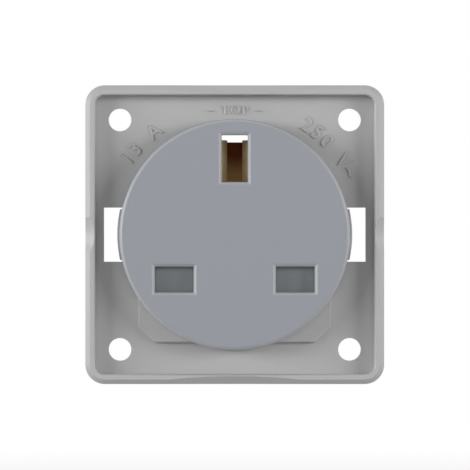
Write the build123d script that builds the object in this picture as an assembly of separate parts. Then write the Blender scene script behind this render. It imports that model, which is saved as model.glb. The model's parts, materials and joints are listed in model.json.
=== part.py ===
from build123d import *
import math
import os

# A flush 13 A three-pin socket insert for furniture and caravans, shown without its cover frame.
# Millimetres. +X is the viewer's right, +Y runs into the panel and +Z is up, so the face looks to -Y.
# The origin is the centre of the four corner holes, on the back face that bears on the panel.

# Support plate: a square dish that the cover frame snaps over
plate_side = 55.0
plate_corner_radius = 3.6
floor_thickness = 2.0
rim_height = 6.0
rim_wall = 1.8
rim_inner_radius = 1.8
rim_bevel = 0.85
rim_edge_bevel = 0.2
corner_hole_circle = 60.0
corner_hole_diameter = 4.2
window_reach = 24.2
window_half_height = 5.0
long_scoop_half_length = 12.0
long_scoop_depth = 0.46
short_scoop_half_length = 3.2
short_scoop_depth = 0.62
housing_recess = 0.5

# The terminal box below the round insert, and the raised pad that covers its front
box_half_width = 17.8
box_bottom_wall = 1.3
box_corner_width = 3.0
box_corner_height = 2.9
pad_height = 1.5
pad_wall = 1.5
pad_edge_bevel = 0.2

# Round insert
insert_radius = 21.2
face_height = 8.2
face_thickness = 3.0
face_edge_bevel = 0.5
spigot_radius = 19.85
spigot_wall = 1.0
spigot_depth = 1.5
tab_radius = 21.66
tab_half_height = 4.7
tab_height = 4.0

# Pin pattern and pins of a 13 A plug
pin_spacing = 22.23
pin_row_distance = 22.23
earth_pin_height = 13.99
live_pin_thickness = 4.0
live_pin_length = 17.7
earth_pin_length = 22.73
live_aperture = (7.1, 4.7)
earth_aperture = (4.8, 8.6)
aperture_chamfer = 0.5

# Shutter: a flat plate behind both live apertures, on guides that lead back as they rise
flap_half_width = 4.1
flap_lap = 0.7
shutter_sheet = 1.5
bar_top = -1.0
bar_height = 4.4
guide_slant = 0.5
guide_place = 4.0
guide_width = 2.5
rail_width = 1.0
stop_width = 2.0

# The shutter's return spring, between a post on the shutter and a seat below the earth chamber
post_block_half_width = 2.2
post_radius = 0.7
post_length = 2.4
spring_radius = 1.0
spring_wire = 0.3
spring_turns = 5
spring_length = 9.0
seat_wall = 8.2

# Retainer plate behind the shutter
retainer_thickness = 1.5
retainer_play = 0.3

# Contacts, stamped from strip
contact_half_width = 2.9
contact_sheet = 0.8
contact_lip_half = 2.75
contact_throat_half = 1.4
contact_leg_half = 2.4
contact_tail_half_width = 1.5
prong_slot = 0.2
earth_sheet = 0.6
earth_lip_half = 2.75
earth_throat_half = 1.3
earth_leg_half = 2.3
earth_contact_bottom = 9.8
earth_contact_top = 17.45
earth_crease_drop = 2.15
earth_lip_depth = 1.7
earth_lip_length = 3.2
earth_taper_length = 2.9
earth_web_slant = 1.2
earth_tail_bottom = 4.0
live_tip_room = 0.9
earth_tip_room = 2.0
strap_half_width = 1.5
strap_slant_bottom = 3.0
strap_slant_height = 6.4
rivet_height = 6.3
rivet_radius = 1.0
rivet_head_radius = 1.75
rivet_head_thickness = 0.6

# Lift terminals: each screw turns on the spot and draws its cage towards its head
terminal_drop = 15.4
cage_half_width = 3.4
cage_half_height = 3.0
cage_side_wall = 1.0
cage_jaw = 1.2
cage_nut = 2.2
cage_travel = 3.0
wire_space = 4.4
terminal_thread_radius = 2.0
thread_play = 0.1
terminal_head_radius = 3.0
terminal_head_height = 2.4
driver_slot = 0.8
driver_slot_depth = 1.2

# Rear housing
driver_hole_length = 2.65
housing_wall = 1.2
housing_floor = 1.5
housing_edge = 0.8
chamber_wall = 1.2
chamber_play = 0.3
cage_play = 0.2
earth_chamber_lap = 0.5
driver_hole_radius = 2.7
sight_slot_half_width = 3.0
sight_slot = (17.2, 19.3)

# Four screws join the housing to the insert
upper_screw = (12.2, 12.2)
lower_screw = (4.8, -9.9)
upper_boss_radius = 2.6
lower_boss_radius = 2.0
housing_screw_radius = 1.45
housing_screw_length = 15.6
housing_head_radius = 2.1
housing_head_height = 1.6
housing_head_place = 11.5
screw_well_radius = 2.3
screw_well_wall = 0.7
screw_play = 0.15

# Clearances between mouldings, and between a moulding and what slides in it
fit_gap = 0.15
slide_gap = 0.15

# Places that follow from the sizes above
face_back = face_thickness - face_height
chamber_radius = spigot_radius - spigot_wall
retainer_back = spigot_depth + retainer_thickness
opening_radius = spigot_radius + fit_gap
pad_front = -floor_thickness - pad_height
live_row = earth_pin_height - pin_row_distance
live_pin_tip = live_pin_length - face_height
earth_pin_tip = earth_pin_length - face_height
side = {"line": pin_spacing / 2, "neutral": -pin_spacing / 2, "earth": 0.0}

flap_bottom = live_row - live_aperture[1] / 2 - flap_lap
flap_inner = pin_spacing / 2 - flap_half_width
flap_outer = pin_spacing / 2 + flap_half_width
bar_bottom = bar_top - bar_height
shutter_front = face_back + slide_gap
shutter_back = shutter_front + shutter_sheet
shutter_rise = live_row + live_pin_thickness / 2 + 2 * slide_gap - flap_bottom
shutter_high = bar_top + shutter_rise + slide_gap
rail_bottom = flap_bottom - 2 * rail_width

slide_cosine = 1 / math.hypot(1, guide_slant)
slide_sine = guide_slant * slide_cosine
spring_foot = shutter_front + spring_radius + spring_wire + slide_gap
spring_head = spring_foot + spring_length * slide_sine
spring_head_height = bar_top + spring_length * slide_cosine

busbar_front = live_pin_tip + live_tip_room
busbar_back = busbar_front + contact_sheet
jaw_front = busbar_front - wire_space - cage_jaw
nut_front = busbar_back + chamber_play
cage_back = nut_front + cage_nut
cage_room_back = cage_back + cage_travel + chamber_play
terminal_head_front = cage_room_back + fit_gap
terminal_head_back = terminal_head_front + terminal_head_height
terminal_place = -terminal_drop
box_drop = terminal_drop + cage_half_height + cage_play + box_bottom_wall
housing_depth = terminal_head_back + chamber_play + driver_hole_length

earth_web_front = earth_pin_tip + earth_tip_room
earth_crease = earth_contact_top - earth_crease_drop
earth_tail_front = earth_web_front - earth_web_slant
earth_lip_front = face_back + earth_lip_depth
strap_front = earth_tail_front + earth_sheet


def block(sketch, front, back):
    """A solid between two depths from a sketch drawn as it is seen from the front."""
    plane = Plane(origin=(0, back, 0), x_dir=(1, 0, 0), z_dir=(0, -1, 0))
    return extrude(plane * sketch, amount=back - front, dir=(0, -1, 0))


def slice_across(sketch, low, high):
    """A solid between two x places from a sketch drawn in Y and Z."""
    return extrude(Plane.YZ.offset(low) * sketch, amount=high - low, dir=(1, 0, 0))


def brick(x, y, z):
    """A box from its (low, high) pairs."""
    pairs = (x, y, z)
    centre = [(low + high) / 2 for low, high in pairs]
    return Pos(*centre) * Box(*[high - low for low, high in pairs])


def rod(place, radius, front, back):
    """A round bar along Y at a place (x, z)."""
    return block(Pos(*place) * Circle(radius), front, back)


def both_sides(solid):
    """A solid and its mirror image across the middle of the socket."""
    return solid + mirror(solid, about=Plane.YZ)


def strip(points, radii, sheet):
    """The section of a bent strip: its metal lies to the left of the points."""
    path = FilletPolyline(*points, radius=radii)
    return make_face(offset(path, amount=sheet, side=Side.LEFT, closed=True).edges())


def terminal_box(grow=0.0):
    """The outline of the terminal box, with its two cut corners."""
    corner_x = box_half_width - box_corner_width
    corner_z = box_corner_height - box_drop
    outline = Polygon(
        (-box_half_width, 0),
        (-box_half_width, corner_z),
        (-corner_x, -box_drop),
        (corner_x, -box_drop),
        (box_half_width, corner_z),
        (box_half_width, 0),
        align=None,
    )
    if grow:
        outline = offset(outline, amount=grow, kind=Kind.INTERSECTION)
    return outline


def insert_outline(grow=0.0):
    """The round insert joined with the terminal box."""
    return Circle(insert_radius + grow) + terminal_box(grow)


def screw_places():
    """Where the four housing screws stand, as (x, z)."""
    return [(turn * x, z) for x, z in (upper_screw, lower_screw) for turn in (-1, 1)]


def rim_scoop(half_length, depth, turn):
    """A shallow round cut that widens the rim's outer bevel in the middle of one side."""
    radius = (half_length**2 + depth**2) / (2 * depth)
    reach = (radius - depth) / math.sqrt(2)
    middle = rim_bevel / 2
    centre = (0, middle - rim_height - reach, plate_side / 2 - middle + reach)
    along_bevel = Plane(origin=centre, x_dir=(1, 0, 0), z_dir=(0, 1, 1))
    return Rot(0, turn, 0) * (along_bevel * Cylinder(radius, 4 * rim_wall))


def support_plate():
    """The dish: rim, floor, raised pad, corner holes, frame windows and the insert's opening."""
    plate = block(RectangleRounded(plate_side, plate_side, plate_corner_radius), -rim_height, 0)
    plate = chamfer(plate.edges().group_by(Axis.Y)[0], rim_bevel)
    dish_side = plate_side - 2 * rim_wall
    plate -= block(
        RectangleRounded(dish_side, dish_side, rim_inner_radius), -rim_height, -floor_thickness
    )
    inside = dish_side / 2 + rim_wall / 20
    crest = plate.edges().group_by(Axis.Y)[0]
    inner_edge = crest.filter_by(lambda e: max(abs(e.center().X), abs(e.center().Z)) < inside)
    plate = chamfer(inner_edge, rim_edge_bevel)
    for turn in (0, 180):
        plate -= rim_scoop(long_scoop_half_length, long_scoop_depth, turn)
        plate -= rim_scoop(short_scoop_half_length, short_scoop_depth, turn + 90)

    pad = block(terminal_box(), pad_front, -floor_thickness)
    pad = chamfer(pad.edges().group_by(Axis.Y)[0], pad_edge_bevel)
    plate += pad
    plate -= block(terminal_box(-pad_wall), pad_front + pad_wall, 0)
    plate -= block(Circle(opening_radius), pad_front, 0)
    plate -= block(insert_outline(fit_gap), -housing_recess, 0)
    window_sketch = Rectangle(2 * window_reach, 2 * window_half_height)
    plate -= block(window_sketch, -floor_thickness, 0)
    hole_place = corner_hole_circle / 2 / math.sqrt(2)
    for x in (-hole_place, hole_place):
        for z in (-hole_place, hole_place):
            plate -= rod((x, z), corner_hole_diameter / 2, -floor_thickness, 0)
    return plate


def insert_ribs():
    """What stands on the back of the face: rails, stops, spring seat, earth chamber and bosses."""
    full = (face_back, spigot_depth)
    inner_rail = (flap_inner - slide_gap - rail_width, flap_inner - slide_gap)
    outer_rail = (flap_outer + slide_gap, flap_outer + slide_gap + rail_width)
    stops = (side["line"] - stop_width, side["line"])
    earth_rib = earth_lip_half + earth_sheet + 2 * fit_gap

    ribs = brick(inner_rail, full, (rail_bottom, bar_bottom - 2 * slide_gap))
    ribs += brick(outer_rail, full, (flap_bottom, shutter_high))
    ribs += brick(stops, full, (shutter_high, shutter_high + rail_width))
    ribs += brick(stops, full, (rail_bottom, flap_bottom - slide_gap))
    ribs += brick((earth_rib, earth_rib + rail_width), full, (seat_wall, chamber_radius))
    for place, radius in ((upper_screw, upper_boss_radius), (lower_screw, lower_boss_radius)):
        ribs += rod(place, radius, *full)
    ribs = both_sides(ribs)
    ribs += brick((-earth_rib, earth_rib), full, (seat_wall, seat_wall + rail_width))
    ribs += slice_across(spring_seat(), -post_block_half_width, post_block_half_width)
    return ribs & block(Circle(spigot_radius), *full)


def socket_front():
    """The round moulding with the three apertures, standing on the plate and through its opening."""
    front = block(Circle(insert_radius), -face_height, -floor_thickness)
    front = chamfer(front.edges().group_by(Axis.Y)[0], face_edge_bevel)
    front += block(Circle(spigot_radius), -floor_thickness, spigot_depth)
    front -= block(Circle(chamber_radius), face_back, spigot_depth)
    tab = Circle(tab_radius) - Circle(chamber_radius)
    tab &= Rectangle(2 * tab_radius, 2 * tab_half_height)
    front += block(tab, -tab_height, -housing_recess - fit_gap)
    front -= block(terminal_box() - Circle(spigot_radius), pad_front, -floor_thickness)
    front += insert_ribs()

    openings = Pos(0, earth_pin_height) * Rectangle(*earth_aperture)
    for name in ("line", "neutral"):
        openings += Pos(side[name], live_row) * Rectangle(*live_aperture)
    front -= block(openings, -face_height, face_back)
    mouths = front.edges().group_by(Axis.Y)[0].filter_by(GeomType.LINE)
    front = chamfer(mouths, aperture_chamfer)
    for place in screw_places():
        tip = housing_head_place - housing_screw_length - screw_play
        front -= rod(place, housing_screw_radius + screw_play / 2, tip, spigot_depth)
    return front


def square_to_spring(y):
    """Height, at a depth, of the plane that stands square to the spring at its lower end."""
    return bar_top - guide_slant * (y - spring_foot)


def spring_seat():
    """The section of the wedge that the spring's upper end bears on."""
    lift = spring_head_height - square_to_spring(spring_head)
    wedge_front = spring_head - (seat_wall - spring_head_height) / guide_slant
    return Polygon(
        (wedge_front, seat_wall),
        (spigot_depth, square_to_spring(spigot_depth) + lift),
        (spigot_depth, seat_wall + rail_width),
        (wedge_front, seat_wall + rail_width),
        align=None,
    )


def on_guide(height):
    """Depth of the back of the shutter's feet at a height. The guides run parallel to it."""
    return shutter_back + guide_slant * (height - bar_bottom)


def shutter():
    """A flat plate with a flap over each live aperture. Both pins together push it back and so up."""
    depths = (shutter_front, shutter_back)
    flaps = both_sides(brick((flap_inner, flap_outer), depths, (flap_bottom, bar_top)))
    bar = brick((-flap_inner, flap_inner), depths, (bar_bottom, bar_top))
    foot_section = Polygon(
        (shutter_back, bar_bottom), (on_guide(bar_top), bar_top), (shutter_back, bar_top), align=None
    )
    feet = both_sides(slice_across(foot_section, guide_place, guide_place + guide_width))

    block_back = spring_foot + spring_radius + spring_wire
    block_section = Polygon(
        (shutter_front, bar_bottom),
        (block_back, bar_bottom),
        (block_back, square_to_spring(block_back)),
        (shutter_front, square_to_spring(shutter_front)),
        align=None,
    )
    post_block = slice_across(block_section, -post_block_half_width, post_block_half_width)
    along_spring = Plane(origin=(0, spring_foot, bar_top), z_dir=(0, slide_sine, slide_cosine))
    post = along_spring * Cylinder(post_radius, post_length, align=(Align.CENTER, Align.CENTER, Align.MIN))
    body = flaps + bar + feet + post_block + post
    return body & block(Circle(chamber_radius - slide_gap), shutter_front, spigot_depth)


def shutter_spring():
    """The compression spring on the shutter's post. It lies along the way that the shutter slides."""
    clear_end = (spring_wire + slide_gap) / 2
    height = spring_length - 2 * clear_end
    path = Helix(pitch=height / spring_turns, height=height, radius=spring_radius)
    section = Plane(origin=path @ 0, z_dir=path % 0) * Rectangle(spring_wire, spring_wire)
    wound = Pos(0, 0, clear_end) * sweep(section, path=path)
    lean = -math.degrees(math.atan(guide_slant))
    return Pos(0, spring_foot, bar_top) * Rot(lean, 0, 0) * wound


def shutter_guides():
    """Two slanted blocks that stand forward from the retainer, behind the shutter's feet."""
    gap = slide_gap / slide_cosine
    middle = (spigot_depth + retainer_back) / 2
    section = Polygon(
        (on_guide(bar_bottom) + gap, bar_bottom),
        (on_guide(shutter_high) + gap, shutter_high),
        (middle, shutter_high),
        (middle, bar_bottom),
        align=None,
    )
    return both_sides(slice_across(section, guide_place, guide_place + guide_width))


def shutter_retainer():
    """The plate that closes the shutter chamber and the front of the contact chambers."""
    outline = Circle(opening_radius - fit_gap) + terminal_box(-housing_wall - fit_gap)
    for name in ("line", "neutral"):
        width, height = live_aperture
        mouth = Rectangle(width + retainer_play, height + retainer_play)
        outline -= Pos(side[name], live_row) * mouth
    half = earth_lip_half + earth_sheet + fit_gap
    low, high = earth_contact_bottom - 2 * fit_gap, sight_slot[1] - 3 * fit_gap
    outline -= Pos(0, (low + high) / 2) * Rectangle(2 * half, high - low)
    for place in screw_places():
        outline -= Pos(*place) * Circle(housing_screw_radius + screw_play)
    return block(outline, spigot_depth, retainer_back) + shutter_guides()


def line_contact():
    """A clip for the line pin: one wide leaf above it, two prongs below it, and a tail to the terminal."""
    lip = retainer_back + 2 * fit_gap
    throat = (lip + busbar_front) / 2 - contact_sheet
    leg = (throat + busbar_front) / 2
    tail_end = terminal_place - cage_half_height + fit_gap
    turns = [2 * contact_sheet, contact_sheet, contact_sheet / 2]
    above = [
        (lip, live_row + contact_lip_half),
        (throat, live_row + contact_throat_half),
        (leg, live_row + contact_leg_half),
        (busbar_front, live_row + contact_leg_half),
        (busbar_front, tail_end),
    ]
    below = above[:-1] + [(busbar_front, live_row)]
    x = side["line"]
    low_x, high_x = x - contact_half_width, x + contact_half_width
    clip = slice_across(strip(above, turns, contact_sheet), low_x, high_x)
    web_bottom = live_row - contact_leg_half - contact_sheet
    beside_tail = (retainer_back, busbar_back), (tail_end, web_bottom)
    clip -= brick((low_x, x - contact_tail_half_width), *beside_tail)
    clip -= brick((x + contact_tail_half_width, high_x), *beside_tail)
    prong_inner = contact_tail_half_width + prong_slot
    leaf = strip(below, turns, contact_sheet)
    prongs = slice_across(leaf, low_x, x - prong_inner) + slice_across(leaf, x + prong_inner, high_x)
    return clip + Pos(0, 0, 2 * live_row) * mirror(prongs, about=Plane.XY)


def earth_contact():
    """The earth clip: two flared legs, a web with a crease behind the pin's tip, and a tail."""
    waist = earth_lip_front + earth_lip_length
    parallel = waist + earth_taper_length
    leg_end = earth_web_front + earth_sheet
    leg_points = [
        (-earth_lip_half, earth_lip_front),
        (-earth_throat_half, waist),
        (-earth_leg_half, parallel),
        (-earth_leg_half, leg_end),
    ]
    height = earth_contact_top - earth_contact_bottom
    leg_section = strip(leg_points, [2 * earth_sheet, earth_sheet], earth_sheet)
    leg = extrude(Plane.XY.offset(earth_contact_bottom) * leg_section, amount=height, dir=(0, 0, 1))
    outer_half = earth_leg_half + earth_sheet
    inside_web = earth_sheet / 2
    side_view = Polygon(
        (earth_lip_front, earth_contact_bottom),
        (earth_tail_front + inside_web, earth_contact_bottom),
        (earth_web_front + inside_web, earth_crease),
        (earth_web_front + inside_web, earth_contact_top),
        (earth_lip_front, earth_contact_top),
        align=None,
    )
    widest = earth_lip_half + earth_sheet
    legs = both_sides(leg) & slice_across(side_view, -widest, widest)

    web_points = [
        (earth_web_front, earth_contact_top),
        (earth_web_front, earth_crease),
        (earth_tail_front, earth_contact_bottom),
        (earth_tail_front, earth_tail_bottom),
    ]
    web_section = strip(web_points, [earth_sheet, earth_sheet], earth_sheet)
    web = slice_across(web_section, -outer_half, outer_half)
    beside_tail = (strap_half_width, outer_half)
    tail_room = (earth_tail_front, leg_end)
    tail_side = brick(beside_tail, tail_room, (earth_tail_bottom, earth_contact_bottom))
    web -= both_sides(tail_side)
    return legs + web - rod((0, rivet_height), rivet_radius, earth_tail_front, strap_front)


def earth_strap():
    """The strap from the earth clip down to the middle terminal."""
    strap_top = earth_contact_bottom - 4 * slide_gap
    lower_bend = terminal_place + cage_half_height + strap_slant_bottom
    points = [
        (strap_front, strap_top),
        (strap_front, lower_bend + strap_slant_height),
        (busbar_front, lower_bend),
        (busbar_front, terminal_place - cage_half_height + fit_gap),
    ]
    turns = [2 * contact_sheet, 2 * contact_sheet]
    section = strip(points, turns, contact_sheet)
    strap = slice_across(section, -strap_half_width, strap_half_width)
    return strap - rod((0, rivet_height), rivet_radius, strap_front, strap_front + contact_sheet)


def earth_rivet():
    """The rivet that joins the earth clip's tail and the strap."""
    place = (0, rivet_height)
    back = strap_front + contact_sheet
    rivet = rod(place, rivet_radius, earth_tail_front, back)
    rivet += rod(place, rivet_head_radius, earth_tail_front - rivet_head_thickness, earth_tail_front)
    rivet += rod(place, rivet_head_radius, back, back + rivet_head_thickness)
    return rivet


def terminal_cage(x):
    """A clamp cage round the busbar: the jaw in front of the wire, the threaded wall behind."""
    depths = (jaw_front, cage_back)
    heights = (terminal_place - cage_half_height, terminal_place + cage_half_height)
    cage = brick((x - cage_half_width, x + cage_half_width), depths, heights)
    inner_half = cage_half_width - cage_side_wall
    cage -= brick((x - inner_half, x + inner_half), (jaw_front + cage_jaw, nut_front), heights)
    hole_radius = terminal_thread_radius + thread_play
    return cage - rod((x, terminal_place), hole_radius, nut_front, cage_back)


def terminal_screw(x):
    """A slotted screw whose tip bears on the busbar."""
    place = (x, terminal_place)
    screw = rod(place, terminal_thread_radius, busbar_back + slide_gap / 3, terminal_head_front)
    screw += rod(place, terminal_head_radius, terminal_head_front, terminal_head_back)
    slot = (x - driver_slot / 2, x + driver_slot / 2)
    long_way = (terminal_place - terminal_head_radius, terminal_place + terminal_head_radius)
    screw -= brick(slot, (terminal_head_back - driver_slot_depth, terminal_head_back), long_way)
    return screw


def housing_screw(place):
    """A thread-forming screw with a flat head."""
    tip = housing_head_place - housing_screw_length
    head_back = housing_head_place + housing_head_height
    screw = rod(place, housing_screw_radius, tip, housing_head_place)
    return screw + rod(place, housing_head_radius, housing_head_place, head_back)


def contact_chambers():
    """The pockets of the housing as (x, y, z) ranges, with the depth of each one's own walls."""
    pockets = []
    room_half = cage_half_width + chamber_play
    cage_low = terminal_place - cage_half_height - cage_play
    cage_high = terminal_place + cage_half_height + cage_play
    clip_high = live_row + contact_lip_half + contact_sheet + chamber_play
    for name in ("line", "neutral"):
        across = (side[name] - room_half, side[name] + room_half)
        pockets.append((across, (retainer_back, busbar_back + contact_sheet), (cage_low, clip_high)))
    for x in side.values():
        across = (x - room_half, x + room_half)
        pockets.append((across, (retainer_back, cage_room_back), (cage_low, cage_high)))
    earth_half = earth_lip_half + earth_sheet + 2 * fit_gap
    earth_room = (earth_contact_bottom - earth_chamber_lap, sight_slot[1])
    earth_depth = (retainer_back, earth_web_front + earth_sheet + 4 * chamber_play)
    pockets.append(((-earth_half, earth_half), earth_depth, earth_room))
    return pockets


def rear_housing():
    """The back moulding: an outer wall and floor, walled contact chambers and screw wells."""
    housing = block(insert_outline(), -housing_recess, housing_depth)
    housing = chamfer(housing.edges().group_by(Axis.Y)[-1], housing_edge)
    inner = Circle(opening_radius) + terminal_box(-housing_wall)
    inner_back = housing_depth - housing_floor
    cavity = block(inner, -housing_recess, inner_back)
    pockets = contact_chambers()
    for x, y, z in pockets:
        chamber_back = y[1] + chamber_wall
        if chamber_back > inner_back - chamber_wall:
            chamber_back = housing_depth
        cavity -= brick(
            (x[0] - chamber_wall, x[1] + chamber_wall),
            (retainer_back, chamber_back),
            (z[0] - chamber_wall, z[1] + chamber_wall),
        )
    for x in side.values():
        tower = (x - terminal_head_radius - chamber_wall, x + terminal_head_radius + chamber_wall)
        tower_low = terminal_place - cage_half_height - chamber_wall
        tower_high = terminal_place + cage_half_height
        cavity -= brick(tower, (cage_room_back, housing_depth), (tower_low, tower_high))
    boss_half = screw_well_radius + screw_well_wall
    for x, z in screw_places():
        across, heights = (x - boss_half, x + boss_half), (z - boss_half, z + boss_half)
        cavity -= brick(across, (retainer_back, housing_depth), heights)
    housing -= cavity

    for x, y, z in pockets:
        housing -= brick(x, y, z)
    for x in side.values():
        place = (x, terminal_place)
        well_back = terminal_head_back + chamber_play
        well_radius = terminal_head_radius + chamber_play
        housing -= rod(place, well_radius, cage_room_back, well_back)
        housing -= rod(place, driver_hole_radius, well_back, housing_depth)
        inner_half = cage_half_width - cage_side_wall
        wire_depths = (jaw_front + cage_jaw, busbar_front)
        below = (-max(insert_radius, box_drop), terminal_place - cage_half_height)
        housing -= brick((x - inner_half, x + inner_half), wire_depths, below)
    for place in screw_places():
        housing -= rod(place, housing_screw_radius + screw_play, retainer_back, housing_head_place)
        housing -= rod(place, screw_well_radius, housing_head_place, housing_depth)
    strap_room = strap_half_width + chamber_play
    above_cage = (terminal_place + cage_half_height, terminal_place + cage_half_height + 2 * chamber_wall)
    strap_depths = (retainer_back, busbar_back + contact_sheet)
    housing -= brick((-strap_room, strap_room), strap_depths, above_cage)
    under_clip = (earth_contact_bottom - 2 * chamber_wall, earth_contact_bottom)
    tail_room = strap_half_width + 2 * chamber_play
    tail_back = strap_front + contact_sheet + rivet_head_thickness + chamber_play
    housing -= brick((-tail_room, tail_room), (retainer_back, tail_back), under_clip)
    slot_half = sight_slot_half_width
    housing -= brick((-slot_half, slot_half), (retainer_back, housing_depth), sight_slot)
    return housing


nodes = {
    "support_plate": support_plate(),
    "socket_front": socket_front(),
    "shutter": shutter(),
    "shutter_spring": shutter_spring(),
    "shutter_retainer": shutter_retainer(),
    "rear_housing": rear_housing(),
    "line_contact": line_contact(),
    "neutral_contact": mirror(line_contact(), about=Plane.YZ),
    "earth_contact": earth_contact(),
    "earth_strap": earth_strap(),
    "earth_rivet": earth_rivet(),
}
for name, x in side.items():
    nodes[f"{name}_terminal_cage"] = terminal_cage(x)
    nodes[f"{name}_terminal_screw"] = terminal_screw(x)
for number, place in enumerate(screw_places(), start=1):
    nodes[f"housing_screw_{number}"] = housing_screw(place)

os.makedirs("parts", exist_ok=True)
for name, solid in nodes.items():
    export_step(solid, f"parts/{name}.step")
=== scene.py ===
import json
import math

import bmesh
import bpy
from bpy.props import FloatProperty, FloatVectorProperty, IntProperty, PointerProperty, StringProperty
from mathutils import Matrix, Vector


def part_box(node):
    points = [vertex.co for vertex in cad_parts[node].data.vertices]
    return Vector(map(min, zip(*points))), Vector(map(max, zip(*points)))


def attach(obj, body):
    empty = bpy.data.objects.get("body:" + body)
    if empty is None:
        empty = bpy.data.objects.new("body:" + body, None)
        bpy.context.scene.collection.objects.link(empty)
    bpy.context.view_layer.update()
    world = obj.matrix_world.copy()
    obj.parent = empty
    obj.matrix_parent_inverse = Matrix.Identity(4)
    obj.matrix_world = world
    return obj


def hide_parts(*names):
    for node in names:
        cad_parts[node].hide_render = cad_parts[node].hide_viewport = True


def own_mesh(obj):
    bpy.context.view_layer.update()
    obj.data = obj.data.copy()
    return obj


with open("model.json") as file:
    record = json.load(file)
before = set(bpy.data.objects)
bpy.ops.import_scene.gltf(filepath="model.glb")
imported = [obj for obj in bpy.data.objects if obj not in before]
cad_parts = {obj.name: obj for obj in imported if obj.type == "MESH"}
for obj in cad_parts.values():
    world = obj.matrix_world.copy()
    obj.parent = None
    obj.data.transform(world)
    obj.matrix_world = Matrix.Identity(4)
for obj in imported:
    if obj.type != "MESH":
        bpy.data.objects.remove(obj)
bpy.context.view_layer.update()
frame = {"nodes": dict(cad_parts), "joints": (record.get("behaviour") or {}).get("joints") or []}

bl_info = {
    "name": "Three-pin socket insert",
    "version": (1, 0, 0),
    "blender": (4, 5, 0),
    "location": "View3D > Sidebar > Socket",
    "description": "Finishes a flush 13 A three-pin socket insert and sets it in a white studio",
    "category": "Object",
}

MM = 0.001

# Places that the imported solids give, in metres
FACE_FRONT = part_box("socket_front")[0].y
BARREL_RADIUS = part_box("socket_front")[1].z
CLIP_LOW, CLIP_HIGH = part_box("earth_contact")
HOUSING_LOW, HOUSING_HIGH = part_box("rear_housing")
SHUTTER_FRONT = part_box("shutter")[0].y
SHUTTER_SLIDE = next(joint for joint in frame["joints"] if joint["name"] == "shutter_slide")

# The dish's floor, the flat below the live terminals, and the spring's foot on the shutter
PLATE_FLOOR = -2.0 * MM
TERMINAL_FLAT = -19.9 * MM
SPRING_FOOT = Vector((0, SHUTTER_FRONT + 1.45 * MM, -1.0 * MM))

# The lens stands a hair off the socket's middle. The picture's sides are in pixels.
LENS_RIGHT, LENS_UP = 0.046 * MM, -0.063 * MM
PICTURE_SIDE = 470

POLES = ("line", "neutral", "earth")
HOUSING_SCREWS = tuple(f"housing_screw_{number}" for number in (1, 2, 3, 4))


def linear(hex_colour):
    """An sRGB hex colour as linear red, green, blue and alpha."""
    shares = [int(hex_colour[at : at + 2], 16) / 255 for at in (1, 3, 5)]
    return [*(s / 12.92 if s <= 0.04045 else ((s + 0.055) / 1.055) ** 2.4 for s in shares), 1.0]


def colour_property(name, description, hex_colour):
    """A colour that a user can change, with its default from a hex value."""
    return FloatVectorProperty(
        name=name, description=description, subtype="COLOR", size=4, min=0, max=1, default=linear(hex_colour)
    )


def length_property(name, description, millimetres):
    """A length that a user can change, in metres behind a default in millimetres."""
    return FloatProperty(name=name, description=description, default=millimetres * MM, min=0, unit="LENGTH")


def angle_property(name, description, degrees):
    """An angle that a user can change, in radians behind a default in degrees."""
    return FloatProperty(name=name, description=description, default=math.radians(degrees), unit="ROTATION")


def light_property(name, description, power):
    """The power of a light that a user can change."""
    return FloatProperty(name=name, description=description, default=power, min=0, unit="POWER")


def number_property(name, description, number):
    """A plain number that a user can change."""
    return FloatProperty(name=name, description=description, default=number, min=0)


class SocketColours(bpy.types.PropertyGroup):
    """Base colours of the materials."""

    face: colour_property("Face", "Polycarbonate of the round face", "#93969E")
    # The face's bevels and side keys take this colour as a painted highlight.
    face_edge_highlight: colour_property("Face edges", "The same plastic at its smooth edges and side keys", "#A9AAAC")
    plate: colour_property("Plate", "Polyamide of the support plate", "#B3B3B3")
    # This colour is darker than the face's plastic, in part as painted shade of the recess that the shutter
    # sits in.
    shutter: colour_property("Shutter", "Acetal of the shutter and its retainer", "#75797E")
    # Brass this pale at the lips is partly a painted highlight.
    brass: colour_property("Brass", "Rolled strip of the contacts, bright at their lips", "#F7EBCB")
    # Painted shade of the brass inside the socket, darker still at the earth clip's top.
    shaded_brass: colour_property("Aged brass", "The same strip inside the socket", "#EFC98A")
    deep_shaded_brass: colour_property("Dark brass", "The same strip at the top of the earth clip", "#B46C40")
    zinc: colour_property("Zinc", "Plating of screws and terminal cages", "#C3C6C8")
    wire: colour_property("Wire", "Drawn steel of the shutter's spring", "#A9ACB0")
    floor: colour_property("Floor", "Paper that the studio's floor is covered with", "#B4B4B4")


class LetteringSizes(bpy.types.PropertyGroup):
    """Raised marks on the plate and on the housing."""

    rating_current: StringProperty(name="Current", description="Mark at the upper left", default="13 A")
    rating_voltage: StringProperty(name="Voltage", description="Mark at the upper right", default="250 V~")
    upward: StringProperty(name="Way up", description="Mark at the top middle", default="\u2013 TOP \u2013")
    large_height: length_property("Large marks", "Height of the curved marks' capitals", 2.7)
    small_height: length_property("Small marks", "Height of the top mark's capitals", 1.65)
    terminal_height: length_property("Terminal marks", "Height of the letters below the terminals", 2.4)
    relief: length_property("Relief", "How far the marks stand above the plate", 0.3)
    ring_radius: length_property("Ring", "Radius that the curved marks stand on", 24.4)
    step: length_property("Step", "Distance from one curved letter to the next", 2.4)
    current_angle: angle_property("Current at", "Place of the current on the ring, from +X to +Z", 136.5)
    voltage_angle: angle_property("Voltage at", "Place of the voltage on the ring, from +X to +Z", 42.6)
    upward_place: length_property("Way up at", "Height of the top mark above the middle", 23.1)
    terminal_place: length_property("Terminals at", "Distance of their letters from the back", 7)


class EdgeSizes(bpy.types.PropertyGroup):
    """Rounded edges of the round face and of the terminal cages."""

    moulding: length_property("Face", "Width of the round face's rounded edges", 0.16)
    pressing: length_property("Cages", "Width of a pressed cage's rounded edges", 0.08)
    sharpest: angle_property("Angle", "Edges that turn by more are rounded", 28)


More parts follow.
